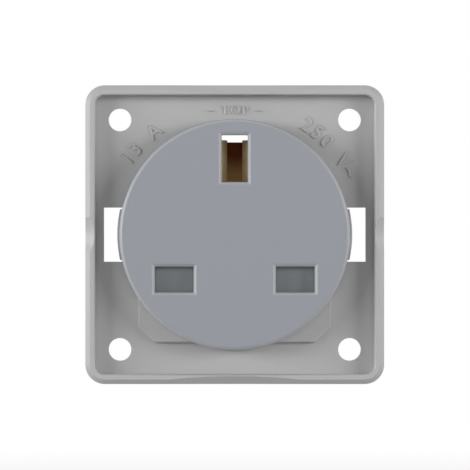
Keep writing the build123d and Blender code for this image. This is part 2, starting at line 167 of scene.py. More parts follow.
class SpringSizes(bpy.types.PropertyGroup):
    """The shutter's spring."""

    wire: length_property("Wire", "Diameter of the wire", 0.3)
    coil_radius: length_property("Coil", "Radius of the wire's middle line", 1.0)
    free_length: length_property("Length", "Length of the spring while the shutter is closed", 9.0)
    active_turns: number_property("Active turns", "Turns that open and close", 5.0)
    end_turns: number_property("End turns", "Closed turns at each end", 1.0)


class ScrewSizes(bpy.types.PropertyGroup):
    """Threads and heads of the screws."""

    terminal_radius: length_property("Terminal radius", "Radius of a terminal screw's thread", 2.0)
    terminal_root: number_property("Terminal root", "Thread's root as a share of its crests", 0.8)
    terminal_pitch: length_property("Terminal pitch", "Thread of the terminal screws", 0.7)
    terminal_head: length_property("Terminal head", "Height of a terminal screw's head", 2.4)
    terminal_slot_depth: length_property("Terminal slot", "Depth of a terminal screw's slot", 1.2)
    terminal_reach: number_property("Terminal reach", "Slot's length as a share of the head's radius", 2.4)
    housing_radius: length_property("Housing radius", "Radius of a housing screw's thread", 1.45)
    housing_root: number_property("Housing root", "Thread's root as a share of its crests", 0.76)
    housing_pitch: length_property("Housing pitch", "Coarse thread of the housing screws", 1.1)
    housing_head: length_property("Housing head", "Height of a housing screw's head", 1.6)
    housing_slot_depth: length_property("Housing recess", "Depth of a housing screw's cross", 0.9)
    housing_reach: number_property("Housing reach", "Cross's length as a share of the head's radius", 1.25)
    slot: length_property("Slot", "Width of the driver's slot", 0.8)
    around: IntProperty(name="Around", description="Segments round a thread", default=28, min=8)
    rings: IntProperty(name="Rings", description="Segments along one turn of a thread", default=8, min=4)


class StudioSizes(bpy.types.PropertyGroup):
    """Camera and light."""

    camera_distance: length_property("Camera", "Distance from the lens to the plate's floor", 800)
    pixels_per_mm: number_property("Scale", "Pixels a millimetre at the plate's floor", 5.412)
    light_distance: length_property("Lights", "Distance from the lights to the object", 900)
    light_rise: angle_property("Rise", "Angle of the front lights above the object", 8)
    far_left: light_property("Far left", "Power of the light at the far left", 3.4)
    near_left: light_property("Near left", "Power of the light at the front left", 2.95)
    fill: light_property("Fill", "Power of the weak light above the camera", 0.5)
    near_right: light_property("Near right", "Power of the light at the front right", 3.35)
    far_right: light_property("Far right", "Power of the light at the far right", 1.45)
    behind: light_property("Behind", "Power of each light behind the object", 3.0)
    overhead: light_property("Overhead", "Power of the light above the object", 1.2)
    ambient: number_property("Ambient", "Strength of the light from all round", 0.02)


def add_node(tree, kind, inputs=None, **values):
    """Adds a node, sets its values and fills its sockets with numbers, colours or links."""
    made = tree.nodes.new(kind)
    for key, value in values.items():
        setattr(made, key, value)
    for key, value in (inputs or {}).items():
        if isinstance(value, bpy.types.NodeSocket):
            tree.links.new(value, made.inputs[key])
        else:
            made.inputs[key].default_value = value
    return made


def new_material(name):
    """An empty material and its node tree."""
    material = bpy.data.materials.new(name)
    material.use_nodes = True
    material.node_tree.nodes.clear()
    return material, material.node_tree


def surface(tree, shader):
    """Ends a material's tree in a surface."""
    add_node(tree, "ShaderNodeOutputMaterial", {"Surface": shader.outputs[0]})


def object_noise(tree, size, stretch=(1, 1, 1), detail=2.0):
    """Noise on the piece's own coordinates, with features of a size in metres."""
    place = add_node(tree, "ShaderNodeTexCoord").outputs["Object"]
    mapped = add_node(tree, "ShaderNodeMapping", {"Vector": place, "Scale": stretch}).outputs[0]
    return add_node(tree, "ShaderNodeTexNoise", {"Vector": mapped, "Scale": 1 / size, "Detail": detail})


def shade_range(tree, noise, colour, share):
    """A colour that noise makes lighter and darker by a share."""
    darker = [part * (1 - share) for part in colour[:3]] + [1.0]
    lighter = [part * (1 + share) for part in colour[:3]] + [1.0]
    mixed = add_node(tree, "ShaderNodeMix", data_type="RGBA")
    tree.links.new(noise.outputs[0], mixed.inputs["Factor"])
    mixed.inputs["A"].default_value = darker
    mixed.inputs["B"].default_value = lighter
    return mixed.outputs["Result"]


def number_range(tree, noise, low, high):
    """A number between two values, from noise."""
    # Nearly all of the noise lies between these two.
    noise_low, noise_high = 0.3, 0.7
    inputs = {"Value": noise.outputs[0], "From Min": noise_low, "From Max": noise_high}
    inputs.update({"To Min": low, "To Max": high})
    return add_node(tree, "ShaderNodeMapRange", inputs).outputs[0]


def blend_along(tree, place, low, high, first, last):
    """A colour that goes from the first to the last while a place goes from low to high."""
    inputs = {"Value": place, "From Min": low, "From Max": high}
    share = add_node(tree, "ShaderNodeMapRange", inputs).outputs[0]
    mixed = add_node(tree, "ShaderNodeMix", data_type="RGBA")
    for socket, value in {"Factor": share, "A": first, "B": last}.items():
        tree.links.new(value, mixed.inputs[socket])
    return mixed.outputs["Result"]


def object_place(tree):
    """The piece's own X, Y and Z as sockets."""
    place = add_node(tree, "ShaderNodeTexCoord").outputs["Object"]
    return add_node(tree, "ShaderNodeSeparateXYZ", {0: place}).outputs


def moulded_plastic(name, colour, grain, relief, roughness, flow, paint=None):
    """A moulded plastic: mould grain as bump, and slow flow marks. Paint may vary its colour by place."""
    shading, dulling, refraction = 0.025, 0.04, 1.58
    material, tree = new_material(name)
    fine = object_noise(tree, grain, detail=3.0)
    slow = object_noise(tree, flow, stretch=(1, 1, 0.4))
    bump = add_node(tree, "ShaderNodeBump", {"Height": fine.outputs[0], "Distance": relief, "Strength": 1.0})
    base = shade_range(tree, slow, colour, shading)
    inputs = {
        "Base Color": paint(tree, slow, base) if paint else base,
        "Roughness": number_range(tree, slow, roughness - dulling, roughness + dulling),
        "IOR": refraction,
        "Normal": bump.outputs[0],
    }
    surface(tree, add_node(tree, "ShaderNodeBsdfPrincipled", inputs))
    return material


def metal(name, colour, grain, stretch, relief, roughness, paint=None):
    """A metal: fine lines or crystals vary its colour and gloss. Paint may vary its colour by place."""
    shading, dulling = 0.06, 0.06
    material, tree = new_material(name)
    lines = object_noise(tree, grain, stretch, detail=4.0)
    bump = add_node(tree, "ShaderNodeBump", {"Height": lines.outputs[0], "Distance": relief, "Strength": 1.0})
    base = shade_range(tree, lines, colour, shading)
    inputs = {
        "Base Color": paint(tree, lines, base) if paint else base,
        "Metallic": 1.0,
        "Roughness": number_range(tree, lines, roughness - dulling, roughness + dulling),
        "Normal": bump.outputs[0],
    }
    surface(tree, add_node(tree, "ShaderNodeBsdfPrincipled", inputs))
    return material


def spark_eroded_polycarbonate(context):
    """Round face: a spark-eroded mould leaves an even, fine, dull grain. Its bevels and side keys are painted
    paler, a painted highlight.
    """
    # The real grain is about 0.08 mm. It is drawn at 0.22 mm, about one pixel, so that it shows.
    colours = context.scene.socket_colours

    def painted_edge_highlight(tree, slow, grained):
        """Painted highlight: paler on the bevels just behind the face and on the keys that stand out of the
        barrel.
        """
        # The bevels reach half a millimetre back from the face.
        x, y, _ = object_place(tree)
        highlight_colour = shade_range(tree, slow, colours.face_edge_highlight, 0.02)
        bevels = blend_along(tree, y, FACE_FRONT + 0.02 * MM, FACE_FRONT + 0.12 * MM, grained, highlight_colour)
        barrel = blend_along(tree, y, FACE_FRONT + 0.5 * MM, FACE_FRONT + 0.62 * MM, bevels, grained)
        outwards = calculate(tree, "ABSOLUTE", x)
        key_start, key_full = BARREL_RADIUS + 0.02 * MM, BARREL_RADIUS + 0.08 * MM
        return blend_along(tree, outwards, key_start, key_full, barrel, highlight_colour)

    grain, relief, flow = 0.22 * MM, 0.006 * MM, 9 * MM
    return moulded_plastic("spark_eroded_polycarbonate", colours.face, grain, relief, 0.46, flow, painted_edge_highlight)


def satin_moulded_polyamide(context):
    """Plate and housing: a smoother mould gives a satin surface with faint flow marks."""
    # The real grain is about 0.1 mm. It is drawn at 0.3 mm so that it shows.
    colour = context.scene.socket_colours.plate
    return moulded_plastic("satin_moulded_polyamide", colour, 0.3 * MM, 0.004 * MM, 0.4, 14 * MM)


def moulded_acetal(context):
    """Shutter and retainer: slippery acetal, smooth and slightly waxy; the colour is darker in part as
    painted shade of the shutter's recess.
    """
    colour = context.scene.socket_colours.shutter
    return moulded_plastic("moulded_acetal", colour, 0.35 * MM, 0.003 * MM, 0.36, 5 * MM)


def rolled_brass_strip(context):
    """Contacts: brass strip from the rolls, fine lines along the pins, a painted highlight at the pale lips
    and painted shade inside.
    """
    # Rolling lines are about 0.02 mm apart. They are drawn at 0.09 mm so that they show.
    colours = context.scene.socket_colours

    def painted_shade_inwards(tree, lines, bright):
        """Painted shade: brown behind the lips, and darker still towards the top."""
        _, y, z = object_place(tree)
        shaded = shade_range(tree, lines, colours.shaded_brass, 0.1)
        deepest_shade = shade_range(tree, lines, colours.deep_shaded_brass, 0.1)
        inner_shade = blend_along(tree, z, CLIP_HIGH.z - 6 * MM, CLIP_HIGH.z - 2 * MM, shaded, deepest_shade)
        return blend_along(tree, y, CLIP_LOW.y + 1 * MM, CLIP_LOW.y + 8 * MM, bright, inner_shade)

    stretch = (1, 0.05, 1)
    return metal("rolled_brass_strip", colours.brass, 0.09 * MM, stretch, 0.0015 * MM, 0.66, painted_shade_inwards)


def zinc_plated_steel(context):
    """Screws and cages: bright zinc over pressed and cold-headed steel, slightly cloudy."""
    colour = context.scene.socket_colours.zinc
    return metal("zinc_plated_steel", colour, 0.6 * MM, (1, 1, 1), 0.003 * MM, 0.3)


def drawn_spring_wire(context):
    """Spring: hard wire polished by its drawing die."""
    colour = context.scene.socket_colours.wire
    return metal("drawn_spring_wire", colour, 0.2 * MM, (1, 1, 1), 0.001 * MM, 0.24)


def paint_node(name, material):
    """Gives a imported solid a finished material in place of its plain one."""
    slots = frame["nodes"][name].data.materials
    for at in range(len(slots)):
        slots[at] = material


def mesh_from(holder):
    """The finished mesh of an object with its modifiers or its text, as plain data."""
    depsgraph = bpy.context.evaluated_depsgraph_get()
    return bpy.data.meshes.new_from_object(holder.evaluated_get(depsgraph), depsgraph=depsgraph)


def softened_mesh(node, width):
    """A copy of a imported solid's mesh: triangles merged, flat faces made whole, edges rounded."""
    nearest, flat = 0.002 * MM, math.radians(0.3)
    mesh = node.data.copy()
    merged = bmesh.new()
    merged.from_mesh(mesh)
    bmesh.ops.remove_doubles(merged, verts=merged.verts, dist=nearest)
    bmesh.ops.dissolve_limit(
        merged, angle_limit=flat, use_dissolve_boundaries=False, verts=merged.verts, edges=merged.edges
    )
    merged.to_mesh(mesh)
    merged.free()
    mesh.attributes.remove(mesh.attributes["custom_normal"])
    mesh.shade_smooth()
    holder = bpy.data.objects.new("softened", mesh)
    bpy.context.scene.collection.objects.link(holder)
    bevel = holder.modifiers.new("rounded_edges", "BEVEL")
    bevel.width = width
    bevel.segments = 2
    bevel.limit_method = "ANGLE"
    bevel.angle_limit = bpy.context.scene.socket_edges.sharpest
    bevel.use_clamp_overlap = False
    bevel.miter_outer = "MITER_SHARP"
    weighted = holder.modifiers.new("flat_faces_stay_flat", "WEIGHTED_NORMAL")
    weighted.keep_sharp = True
    finished = mesh_from(holder)
    bpy.data.objects.remove(holder)
    return finished


def soften(name, kind, body, material, width):
    """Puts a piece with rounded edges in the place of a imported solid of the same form."""
    node = frame["nodes"][name]
    mesh = softened_mesh(node, width)
    mesh.materials[0] = material
    return scene_piece(f"{name}_{kind}", mesh, body, [name])


def scene_piece(name, mesh, body, nodes=()):
    """Puts a finished mesh in the scene as a piece that rides on a body and may stand for solids."""
    piece = bpy.data.objects.new(name, mesh)
    bpy.context.scene.collection.objects.link(piece)
    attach(piece, body)
    if nodes:
        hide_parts(*nodes)
    return piece


def grown_piece(name, tree, inputs, body, nodes, points, place=Matrix()):
    """Grows a piece from points with a geometry tree, and keeps only its plain mesh."""
    base = bpy.data.meshes.new(name)
    base.from_pydata(points, [], [])
    grower = bpy.data.objects.new(name, base)
    bpy.context.scene.collection.objects.link(grower)
    modifier = grower.modifiers.new(tree.name, "NODES")
    modifier.node_group = tree
    identifiers = {
        item.name: item.identifier
        for item in tree.interface.items_tree
        if item.item_type == "SOCKET" and item.in_out == "INPUT"
    }
    for key, value in inputs.items():
        modifier[identifiers[key]] = value
    mesh = mesh_from(grower)
    bpy.data.objects.remove(grower)
    mesh.transform(place)
    return scene_piece(name, mesh, body, nodes)


def geometry_tree(name, inputs):
    """A geometry tree with a Geometry socket and named number inputs, and its input node."""
    tree = bpy.data.node_groups.new(name, "GeometryNodeTree")
    tree.interface.new_socket("Geometry", in_out="INPUT", socket_type="NodeSocketGeometry")
    tree.interface.new_socket("Geometry", in_out="OUTPUT", socket_type="NodeSocketGeometry")
    for key, kind in inputs.items():
        tree.interface.new_socket(key, in_out="INPUT", socket_type=kind)
    return tree, add_node(tree, "NodeGroupInput").outputs


def end_tree(tree, geometry, material):
    """Ends a geometry tree in real geometry with its material."""
    real = add_node(tree, "GeometryNodeRealizeInstances", {"Geometry": geometry}).outputs[0]
    painted = add_node(tree, "GeometryNodeSetMaterial", {"Geometry": real, "Material": material}).outputs[0]
    add_node(tree, "NodeGroupOutput", {"Geometry": painted})


def calculate(tree, operation, *numbers):
    """One step of arithmetic on numbers or sockets."""
    return add_node(tree, "ShaderNodeMath", dict(enumerate(numbers)), operation=operation).outputs[0]


def combine(tree, x, y, z):
    """A vector from three numbers or sockets."""
    return add_node(tree, "ShaderNodeCombineXYZ", {"X": x, "Y": y, "Z": z}).outputs[0]


def point_place(tree):
    """The X, Y and Z of each point as sockets."""
    place = add_node(tree, "GeometryNodeInputPosition").outputs[0]
    return add_node(tree, "ShaderNodeSeparateXYZ", {0: place}).outputs


def moved(tree, geometry, offset):
    """Geometry moved by an offset."""
    return add_node(tree, "GeometryNodeTransform", {"Geometry": geometry, "Translation": offset}).outputs[0]


def thread_shape(tree, given):
    """A threaded rod from the origin down -Z: a cylinder whose radius follows the helix."""
    turns = calculate(tree, "DIVIDE", given["Length"], given["Pitch"])
    inputs = {
        "Vertices": given["Around"],
        "Side Segments": calculate(tree, "MULTIPLY", given["Rings"], turns),
        "Radius": given["Radius"],
        "Depth": given["Length"],
    }
    rod = add_node(tree, "GeometryNodeMeshCylinder", inputs, fill_type="TRIANGLE_FAN").outputs["Mesh"]
    x, y, z = point_place(tree)
    turn = calculate(tree, "DIVIDE", calculate(tree, "ARCTAN2", y, x), 2 * math.pi)
    along = calculate(tree, "ADD", calculate(tree, "DIVIDE", z, given["Pitch"]), turn)
    wave = calculate(tree, "PINGPONG", along, 0.5)
    half = calculate(tree, "MULTIPLY", given["Length"], 0.5)
    to_end = calculate(tree, "SUBTRACT", half, calculate(tree, "ABSOLUTE", z))
    fade = calculate(tree, "DIVIDE", to_end, given["Pitch"])
    faded = add_node(tree, "ShaderNodeClamp", {"Value": fade, "Min": 0.0, "Max": 1.0}).outputs[0]
    ridge = calculate(tree, "MULTIPLY", calculate(tree, "MULTIPLY", wave, 2.0), faded)
    depth = calculate(tree, "SUBTRACT", 1.0, given["Root"])
    scale = calculate(tree, "ADD", given["Root"], calculate(tree, "MULTIPLY", ridge, depth))
    shaped = combine(tree, calculate(tree, "MULTIPLY", x, scale), calculate(tree, "MULTIPLY", y, scale), z)
    threaded = add_node(tree, "GeometryNodeSetPosition", {"Geometry": rod, "Position": shaped}).outputs[0]
    down = combine(tree, 0.0, 0.0, calculate(tree, "MULTIPLY", given["Length"], -0.5))
    return moved(tree, threaded, down)


def head_shape(tree, given, cross):
    """A screw head from the origin up +Z, with a softened rim and a driver's recess."""
    around = 48
    radius = given["Head Radius"]
    rim = calculate(tree, "MULTIPLY", given["Slot"], 0.3)
    wall = calculate(tree, "SUBTRACT", given["Head Height"], rim)
    crown_radius = calculate(tree, "SUBTRACT", radius, rim)
    inputs = {"Vertices": around, "Radius Top": radius, "Radius Bottom": radius, "Depth": wall}
    body = add_node(tree, "GeometryNodeMeshCone", inputs).outputs["Mesh"]
    inputs = {"Vertices": around, "Radius Top": crown_radius, "Radius Bottom": radius, "Depth": rim}
    crown = add_node(tree, "GeometryNodeMeshCone", inputs).outputs["Mesh"]
    crown = moved(tree, crown, combine(tree, 0.0, 0.0, wall))
    welded = add_node(tree, "GeometryNodeMeshBoolean", operation="UNION", solver="EXACT")
    tree.links.new(body, welded.inputs["Mesh 2"])
    tree.links.new(crown, welded.inputs["Mesh 2"])
    bottom = calculate(tree, "SUBTRACT", given["Head Height"], given["Slot Depth"])
    tall = calculate(tree, "MULTIPLY", given["Slot Depth"], 2.0)
    middle = calculate(tree, "ADD", bottom, given["Slot Depth"])
    cut = add_node(tree, "GeometryNodeMeshBoolean", operation="DIFFERENCE", solver="EXACT")
    tree.links.new(welded.outputs[0], cut.inputs["Mesh 1"])
    reach = calculate(tree, "MULTIPLY", radius, given["Reach"])
    sizes = [combine(tree, given["Slot"], reach, tall)]
    if cross:
        sizes.append(combine(tree, reach, given["Slot"], tall))
    for size in sizes:
        bar = add_node(tree, "GeometryNodeMeshCube", {"Size": size}).outputs["Mesh"]
        tree.links.new(moved(tree, bar, combine(tree, 0.0, 0.0, middle)), cut.inputs["Mesh 2"])
    return cut.outputs[0]


def screw_tree(name, material, cross):
    """A threaded screw on each point, its axis along Y and its head to the back."""
    lengths = ("Radius", "Pitch", "Length", "Head Radius", "Head Height", "Slot", "Slot Depth")
    numbers = ("Root", "Reach", "Rings")
    kinds = dict.fromkeys(lengths + numbers, "NodeSocketFloat")
    kinds["Around"] = "NodeSocketInt"
    tree, given = geometry_tree(name, kinds)
    parts = add_node(tree, "GeometryNodeJoinGeometry")
    tree.links.new(thread_shape(tree, given), parts.inputs[0])
    tree.links.new(head_shape(tree, given, cross), parts.inputs[0])
    points = add_node(tree, "GeometryNodeMeshToPoints", {"Mesh": given["Geometry"]}).outputs[0]
    inputs = {"Points": points, "Instance": parts.outputs[0], "Rotation": (-math.pi / 2, 0.0, 0.0)}
    placed = add_node(tree, "GeometryNodeInstanceOnPoints", inputs).outputs[0]
    end_tree(tree, placed, material)
    return tree


def screw_inputs(sizes, kind, low, high):
    """What the tree of one kind of screw is given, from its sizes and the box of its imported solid."""
    head_height = getattr(sizes, f"{kind}_head")
    return {
        "Radius": getattr(sizes, f"{kind}_radius"),
        "Root": getattr(sizes, f"{kind}_root"),
        "Pitch": getattr(sizes, f"{kind}_pitch"),
        "Length": high.y - head_height - low.y,
        "Head Radius": (high.x - low.x) / 2,
        "Head Height": head_height,
        "Slot": sizes.slot,
        "Slot Depth": getattr(sizes, f"{kind}_slot_depth"),
        "Reach": getattr(sizes, f"{kind}_reach"),
        "Around": sizes.around,
        "Rings": float(sizes.rings),
    }


def screw_place(low, high, head_height):
    """Where a screw's head meets its thread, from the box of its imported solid."""
    return (low.x + high.x) / 2, high.y - head_height, (low.z + high.z) / 2


def spring_tree(name, material):
    """A compression spring up +Z from each point, its end turns closed."""
    names = ("Wire", "Radius", "Height", "Active Turns", "End Turns")
    tree, given = geometry_tree(name, dict.fromkeys(names, "NodeSocketFloat"))
    radius = given["Radius"]
    turns = calculate(tree, "MULTIPLY_ADD", given["End Turns"], 2.0, given["Active Turns"])
    inputs = {"Resolution": 28, "Rotations": turns, "Start Radius": radius, "End Radius": radius}
    helix = add_node(tree, "GeometryNodeCurveSpiral", inputs).outputs[0]
    along = add_node(tree, "GeometryNodeSplineParameter").outputs["Factor"]
    turn = calculate(tree, "MULTIPLY", along, turns)
    low_end = calculate(tree, "MINIMUM", turn, given["End Turns"])
    from_top = calculate(tree, "SUBTRACT", turns, turn)
    high_end = calculate(tree, "MINIMUM", from_top, given["End Turns"])
    last_open = calculate(tree, "SUBTRACT", turns, given["End Turns"])
    inputs = {"Value": turn, "From Min": given["End Turns"], "From Max": last_open}
    share = add_node(tree, "ShaderNodeMapRange", inputs).outputs[0]
    closed = calculate(tree, "MULTIPLY", given["Wire"], given["End Turns"])
    free = calculate(tree, "SUBTRACT", given["Height"], calculate(tree, "MULTIPLY", closed, 2.0))
    rise = calculate(tree, "MULTIPLY", share, free)
    low_rise = calculate(tree, "MULTIPLY", low_end, given["Wire"])
    high_rise = calculate(tree, "SUBTRACT", closed, calculate(tree, "MULTIPLY", high_end, given["Wire"]))
    height = calculate(tree, "ADD", calculate(tree, "ADD", rise, low_rise), high_rise)
    x, y, _ = point_place(tree)
    lifted = combine(tree, x, y, height)
    path = add_node(tree, "GeometryNodeSetPosition", {"Geometry": helix, "Position": lifted}).outputs[0]
    half_wire = calculate(tree, "MULTIPLY", given["Wire"], 0.5)
    inputs = {"Resolution": 12, "Radius": half_wire}
    section = add_node(tree, "GeometryNodeCurvePrimitiveCircle", inputs).outputs[0]
    inputs = {"Curve": path, "Profile Curve": section, "Fill Caps": True}
    wire = add_node(tree, "GeometryNodeCurveToMesh", inputs).outputs[0]
    points = add_node(tree, "GeometryNodeMeshToPoints", {"Mesh": given["Geometry"]}).outputs[0]
    placed = add_node(tree, "GeometryNodeInstanceOnPoints", {"Points": points, "Instance": wire}).outputs[0]
    end_tree(tree, placed, material)
    return tree


def letter_mesh(text, height, relief):
    """Raised letters in the XY plane, centred on the origin, with softened edges."""
    # A capital's height is this share of the font's size.
    capital_share = 0.73
    softness = relief * 0.35
    curve = bpy.data.curves.new("letters", "FONT")
    curve.body = text
    curve.align_x = "CENTER"
    curve.size = height / capital_share
    curve.space_character = 1.3
    curve.extrude = relief - softness
    curve.bevel_depth = softness
    curve.offset = -softness / 2
    curve.bevel_resolution = 1
    curve.resolution_u = 6
    holder = bpy.data.objects.new("letters", curve)
    bpy.context.scene.collection.objects.link(holder)
    mesh = mesh_from(holder)
    bpy.data.objects.remove(holder)
    bpy.data.curves.remove(curve)
    mesh.transform(Matrix.Translation((0, -height / 2, 0)))
    return mesh


def earth_sign(height, relief):
    """The sign for earth in the XY plane, centred on the origin: a stem over three bars."""
    # Each bar is its middle's place, its width and its height.
    stroke = height * 0.13
    bars = [(0, height * 0.2, stroke, height * 0.6)]
    for step in range(3):
        bars.append((0, -height * (0.1 + 0.18 * step), height * (0.8 - 0.27 * step), stroke))
    sign = bmesh.new()
    for x, y, wide, tall in bars:
        size = Matrix.Diagonal((wide, tall, 2 * relief, 1))
        bmesh.ops.create_cube(sign, size=1, matrix=Matrix.Translation((x, y, 0)) @ size)
    mesh = bpy.data.meshes.new("earth_sign")
    sign.to_mesh(mesh)
    sign.free()
    return mesh


def joined(name, meshes, material):
    """One mesh from several."""
    points, faces = [], []
    for mesh in meshes:
        first = len(points)
        points += [tuple(vertex.co) for vertex in mesh.vertices]
        faces += [[first + at for at in face.vertices] for face in mesh.polygons]
        bpy.data.meshes.remove(mesh)
    whole = bpy.data.meshes.new(name)
    whole.from_pydata(points, [], faces)
    whole.materials.append(material)
    return whole


def facing_front(x, y, z, turn=0.0):
    """Places flat letters on a surface that looks to -Y."""
    upright = Matrix.Rotation(math.pi / 2, 4, "X")
    return Matrix.Translation((x, y, z)) @ Matrix.Rotation(turn, 4, "Y") @ upright


def facing_down(x, y, z):
    """Places flat letters on a surface that looks to -Z, upright for someone behind the socket."""
    return Matrix.Translation((x, y, z)) @ Matrix.Rotation(math.pi, 4, "Y")


def curved_letters(text, middle_angle, sizes, floor):
    """Single letters round the ring, read clockwise, their feet towards the disc."""
    meshes = []
    for at, letter in enumerate(text):
        if letter == " ":
            continue
        angle = middle_angle - (at - (len(text) - 1) / 2) * sizes.step / sizes.ring_radius
        mesh = letter_mesh(letter, sizes.large_height, sizes.relief)
        x, z = sizes.ring_radius * math.cos(angle), sizes.ring_radius * math.sin(angle)
        mesh.transform(facing_front(x, floor, z, math.pi / 2 - angle))
        meshes.append(mesh)
    return meshes


class SOCKET_OT_plate(bpy.types.Operator):
    """Finish the support plate"""

    bl_idname = "socket.plate"
    bl_label = "Support plate"

    def execute(self, context):
        paint_node("support_plate", satin_moulded_polyamide(context))
        return {"FINISHED"}


class SOCKET_OT_front(bpy.types.Operator):
    """Finish the round face with its apertures"""

    bl_idname = "socket.front"
    bl_label = "Round face"

    def execute(self, context):
        width = context.scene.socket_edges.moulding
        soften("socket_front", "moulding", "insert", spark_eroded_polycarbonate(context), width)
        return {"FINISHED"}


class SOCKET_OT_marks(bpy.types.Operator):
    """Raise the ratings on the plate and the terminal marks on the housing"""

    bl_idname = "socket.marks"
    bl_label = "Raised marks"

    def execute(self, context):
        sizes = context.scene.socket_lettering
        material = bpy.data.materials["satin_moulded_polyamide"]
        top = letter_mesh(sizes.upward, sizes.small_height, sizes.relief)
        top.transform(facing_front(0, PLATE_FLOOR, sizes.upward_place))
        groups = {
            "rating_current": curved_letters(sizes.rating_current, sizes.current_angle, sizes, PLATE_FLOOR),
            "rating_voltage": curved_letters(sizes.rating_voltage, sizes.voltage_angle, sizes, PLATE_FLOOR),
            "upward_mark": [top],
        }
        row = HOUSING_HIGH.y - sizes.terminal_place
        for pole, letter in {"line": "L", "neutral": "N"}.items():
            low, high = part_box(f"{pole}_terminal_screw")
            mark = letter_mesh(letter, sizes.terminal_height, sizes.relief)
            mark.transform(facing_down((low.x + high.x) / 2, row, TERMINAL_FLAT))
            groups[f"{pole}_mark"] = [mark]
        sign = earth_sign(sizes.terminal_height, sizes.relief)
        sign.transform(facing_down(0, row, HOUSING_LOW.z))
        groups["earth_mark"] = [sign]
        for name, meshes in groups.items():
            scene_piece(name, joined(name, meshes, material), "insert")
        return {"FINISHED"}


class SOCKET_OT_shutter(bpy.types.Operator):
    """Finish the shutter and its retainer, and wind the spring"""

    bl_idname = "socket.shutter"
    bl_label = "Shutter"

    def execute(self, context):
        acetal = moulded_acetal(context)
        for name in ("shutter", "shutter_retainer"):
            paint_node(name, acetal)
        sizes = context.scene.socket_spring
        inputs = {
            "Wire": sizes.wire,
            "Radius": sizes.coil_radius,
            "Height": sizes.free_length - sizes.wire,
            "Active Turns": sizes.active_turns,
            "End Turns": sizes.end_turns,
        }
        along = Vector(SHUTTER_SLIDE["axis"])
        start = SPRING_FOOT + along * sizes.wire / 2
        tree = spring_tree("shutter_spring_winding", drawn_spring_wire(context))
        turn = Vector((0, 0, 1)).rotation_difference(along).to_matrix().to_4x4()
        place = Matrix.Translation(start) @ turn
        nodes, points = ["shutter_spring"], [(0, 0, 0)]
        spring = grown_piece("return_spring", tree, inputs, "insert", nodes, points, place)
        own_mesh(spring)
        return {"FINISHED"}


class SOCKET_OT_contacts(bpy.types.Operator):
    """Finish the brass clips, the earth strap and its rivet"""

    bl_idname = "socket.contacts"
    bl_label = "Contacts"

    def execute(self, context):
        brass = rolled_brass_strip(context)
        for name in ("line_contact", "neutral_contact", "earth_contact", "earth_strap", "earth_rivet"):
            paint_node(name, brass)
        return {"FINISHED"}


class SOCKET_OT_terminals(bpy.types.Operator):
    """Finish the lift cages and thread their screws"""

    bl_idname = "socket.terminals"
    bl_label = "Terminals"

    def execute(self, context):
        zinc = zinc_plated_steel(context)
        sizes = context.scene.socket_screws
        width = context.scene.socket_edges.pressing
        tree = screw_tree("terminal_screw", zinc, cross=False)
        for pole in POLES:
            soften(f"{pole}_terminal_cage", "pressing", f"{pole}_cage", zinc, width)
            low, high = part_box(f"{pole}_terminal_screw")
            inputs = screw_inputs(sizes, "terminal", low, high)
            points = [screw_place(low, high, sizes.terminal_head)]
            nodes = [f"{pole}_terminal_screw"]
            grown_piece(f"{pole}_clamp_screw", tree, inputs, f"{pole}_screw", nodes, points)
        return {"FINISHED"}


class SOCKET_OT_housing(bpy.types.Operator):
    """Finish the rear housing and thread its four screws"""

    bl_idname = "socket.housing"
    bl_label = "Rear housing"

    def execute(self, context):
        paint_node("rear_housing", bpy.data.materials["satin_moulded_polyamide"])
        sizes = context.scene.socket_screws
        boxes = [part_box(name) for name in HOUSING_SCREWS]
        places = [screw_place(low, high, sizes.housing_head) for low, high in boxes]
        inputs = screw_inputs(sizes, "housing", *boxes[0])
        tree = screw_tree("housing_screw", bpy.data.materials["zinc_plated_steel"], cross=True)
        grown_piece("housing_screws", tree, inputs, "insert", HOUSING_SCREWS, places)
        return {"FINISHED"}


class SOCKET_OT_studio(bpy.types.Operator):
    """Set the floor, the lights, the white surroundings and the camera"""

    bl_idname = "socket.studio"
    bl_label = "Studio"

    def execute(self, context):
        scene = context.scene
        sizes = scene.socket_studio
        scene.view_settings.view_transform = "Standard"
        white_world(scene, sizes.ambient)
        studio_floor(scene)
        front = {"far_left": -75, "near_left": -50, "fill": 0, "near_right": 50, "far_right": 75}
        back = {"back_left": -140, "back_right": 140}
        for name, azimuth in front.items():
            power = getattr(sizes, name)
            soft_light(scene, f"{name}_light", azimuth, sizes.light_rise, spread=25, power=power)
        for name, azimuth in back.items():
            soft_light(scene, f"{name}_light", azimuth, math.radians(25), spread=40, power=sizes.behind)
        soft_light(scene, "overhead_light", 0, math.radians(85), spread=45, power=sizes.overhead)
        camera = bpy.data.cameras.new("front_camera")
        camera.sensor_width = 36.0
        focal_pixels = sizes.pixels_per_mm * sizes.camera_distance / MM
        camera.lens = focal_pixels / PICTURE_SIDE * camera.sensor_width
        holder = bpy.data.objects.new("front_camera", camera)
        scene.collection.objects.link(holder)
        holder.location = (LENS_RIGHT, PLATE_FLOOR - sizes.camera_distance, LENS_UP)
        holder.rotation_euler = (math.pi / 2, 0, 0)
        scene.camera = holder
        return {"FINISHED"}


def seen_white(tree):
    """1 for rays from the camera, a gloss or glass, which should meet a plain white studio."""
    path = add_node(tree, "ShaderNodeLightPath").outputs
    seen = calculate(tree, "MAXIMUM", path["Is Camera Ray"], path["Is Glossy Ray"])
    return calculate(tree, "MAXIMUM", seen, path["Is Transmission Ray"])


def white_world(scene, ambient):
    """White where it is seen, and a dimmer even light on the object."""
    world = bpy.data.worlds.new("white_studio")
    world.use_nodes = True
    tree = world.node_tree
    tree.nodes.clear()
    seen = seen_white(tree)
    strength = calculate(tree, "MULTIPLY_ADD", seen, 1.0 - ambient, ambient)
    light = add_node(tree, "ShaderNodeBackground", {"Color": linear("#FFFFFF"), "Strength": strength})
    add_node(tree, "ShaderNodeOutputWorld", {"Surface": light.outputs[0]})
    scene.world = world


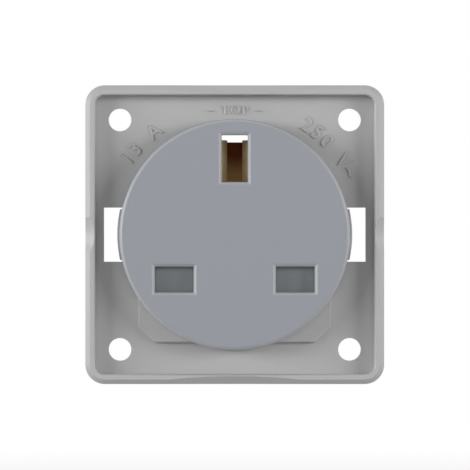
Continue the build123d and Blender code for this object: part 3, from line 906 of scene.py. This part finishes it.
def studio_floor(scene):
    """A round sheet of pale paper below the object, which fades into the white and keeps the shadow."""
    radius, drop, sides = 0.7, -60 * MM, 64
    fade_start, fade_end, least_white = 0.05, 0.4, 0.6
    material, tree = new_material("matt_paper")
    paper = add_node(tree, "ShaderNodeBsdfDiffuse", {"Color": scene.socket_colours.floor})
    white = add_node(tree, "ShaderNodeEmission", {"Color": linear("#FFFFFF"), "Strength": 1.0})
    clear = add_node(tree, "ShaderNodeBsdfTransparent")
    place = add_node(tree, "ShaderNodeTexCoord").outputs["Object"]
    flat = add_node(tree, "ShaderNodeVectorMath", {0: place, 1: (1, 1, 0)}, operation="MULTIPLY").outputs[0]
    distance = add_node(tree, "ShaderNodeVectorMath", {0: flat}, operation="LENGTH").outputs["Value"]
    inputs = {"Value": distance, "From Min": fade_start, "From Max": fade_end, "To Min": least_white}
    fade = add_node(tree, "ShaderNodeMapRange", inputs).outputs[0]
    share = calculate(tree, "MULTIPLY", fade, seen_white(tree))
    lit = add_node(tree, "ShaderNodeMixShader", {0: share, 1: paper.outputs[0], 2: white.outputs[0]})
    behind = add_node(tree, "ShaderNodeNewGeometry").outputs["Backfacing"]
    inputs = {0: behind, 1: lit.outputs[0], 2: clear.outputs[0]}
    surface(tree, add_node(tree, "ShaderNodeMixShader", inputs))
    turns = [math.tau * at / sides for at in range(sides)]
    corners = [(radius * math.cos(turn), radius * math.sin(turn), drop) for turn in turns]
    mesh = bpy.data.meshes.new("floor")
    mesh.from_pydata(corners, [], [list(range(sides))])
    mesh.materials.append(material)
    floor = bpy.data.objects.new("floor", mesh)
    scene.collection.objects.link(floor)


def soft_light(scene, name, azimuth, rise, spread, power):
    """A light that looks at the object and is a number of degrees wide. Azimuth 0 is behind the camera."""
    height_share = 0.55
    distance = scene.socket_studio.light_distance
    light = bpy.data.lights.new(name, "AREA")
    light.shape = "RECTANGLE"
    light.size = 2 * distance * math.tan(math.radians(spread / 2))
    light.size_y = light.size * height_share
    light.energy = power
    holder = bpy.data.objects.new(name, light)
    scene.collection.objects.link(holder)
    turn = math.radians(azimuth)
    level = math.cos(rise)
    towards = Vector((math.sin(turn) * level, -math.cos(turn) * level, math.sin(rise)))
    holder.location = towards * distance
    holder.rotation_euler = towards.to_track_quat("Z", "Y").to_euler()
    holder.visible_camera = False


class SOCKET_PT_panel(bpy.types.Panel):
    """Buttons for each group of pieces, and the sizes and colours behind them"""

    bl_idname = "SOCKET_PT_panel"
    bl_label = "Socket insert"
    bl_space_type = "VIEW_3D"
    bl_region_type = "UI"
    bl_category = "Socket"

    def draw(self, context):
        for operator in OPERATORS:
            self.layout.operator(operator.bl_idname)
        for group, kind in GROUPS.items():
            box = self.layout.box()
            for key in kind.__annotations__:
                box.prop(getattr(context.scene, group), key)


GROUPS = {
    "socket_colours": SocketColours,
    "socket_edges": EdgeSizes,
    "socket_lettering": LetteringSizes,
    "socket_spring": SpringSizes,
    "socket_screws": ScrewSizes,
    "socket_studio": StudioSizes,
}
OPERATORS = (
    SOCKET_OT_plate,
    SOCKET_OT_front,
    SOCKET_OT_marks,
    SOCKET_OT_shutter,
    SOCKET_OT_contacts,
    SOCKET_OT_terminals,
    SOCKET_OT_housing,
    SOCKET_OT_studio,
)


def register():
    for kind in (*GROUPS.values(), *OPERATORS, SOCKET_PT_panel):
        bpy.utils.register_class(kind)
    for name, kind in GROUPS.items():
        setattr(bpy.types.Scene, name, PointerProperty(type=kind))


def unregister():
    for name in GROUPS:
        delattr(bpy.types.Scene, name)
    for kind in reversed((*GROUPS.values(), *OPERATORS, SOCKET_PT_panel)):
        bpy.utils.unregister_class(kind)


def main():
    register()
    bpy.ops.socket.plate()
    bpy.ops.socket.front()
    bpy.ops.socket.marks()
    bpy.ops.socket.shutter()
    bpy.ops.socket.contacts()
    bpy.ops.socket.terminals()
    bpy.ops.socket.housing()
    bpy.ops.socket.studio()


if __name__ == "__main__":
    main()
